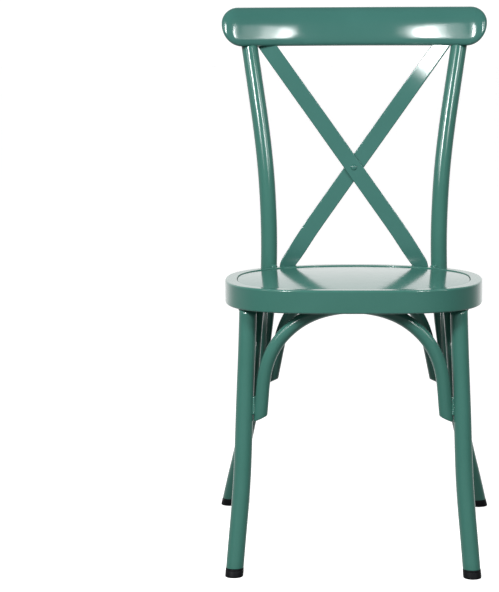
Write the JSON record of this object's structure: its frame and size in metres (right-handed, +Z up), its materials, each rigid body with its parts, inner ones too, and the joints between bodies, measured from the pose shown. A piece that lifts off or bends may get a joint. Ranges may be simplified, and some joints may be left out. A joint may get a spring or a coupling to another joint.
{
  "type": "stacking chair",
  "caption": "Stacking side chair of bent tube with a curved crest rail, crossed flat back bars, a rounded pressed seat and arched braces under it.",
  "frame": {"origin": "on the floor, in the middle of the chair's footprint", "axes": "+Z up from the floor to the crest rail; +X to the chair's right as seen from the front, across its plane of symmetry; the chair faces -Y"},
  "size_m": [0.4796, 0.5783, 0.8916],
  "materials": {
    "painted_tube": "gloss green powder coat",
    "painted_seat": "gloss green powder coat",
    "painted_weld": "gloss green powder coat over weld beads",
    "foot_plastic": "satin black moulded plastic"
  },
  "bodies": {
    "root": {"seat_ring": "painted_seat", "seat_panel": "painted_seat", "front_leg_left": "painted_tube", "front_leg_right": "painted_tube", "rear_leg_left": "painted_tube", "rear_leg_right": "painted_tube", "foot_cap_front_left": "foot_plastic", "foot_cap_front_right": "foot_plastic", "foot_cap_rear_left": "foot_plastic", "foot_cap_rear_right": "foot_plastic", "front_arch": "painted_tube", "rear_arch": "painted_tube", "side_arch_left": "painted_tube", "side_arch_right": "painted_tube", "weld_front_arch_left": "painted_weld", "weld_front_arch_right": "painted_weld", "weld_rear_arch_left": "painted_weld", "weld_rear_arch_right": "painted_weld", "weld_side_arch_front_left": "painted_weld", "weld_side_arch_front_right": "painted_weld", "weld_side_arch_rear_left": "painted_weld", "weld_side_arch_rear_right": "painted_weld", "weld_back_post_left": "painted_weld", "weld_back_post_right": "painted_weld", "weld_front_leg_left": "painted_weld", "weld_front_leg_right": "painted_weld", "back_slat_front": "painted_tube", "back_slat_rear": "painted_tube", "cross_rivet": "painted_tube", "crest_rail": "painted_tube"}
  },
  "joints": []
}
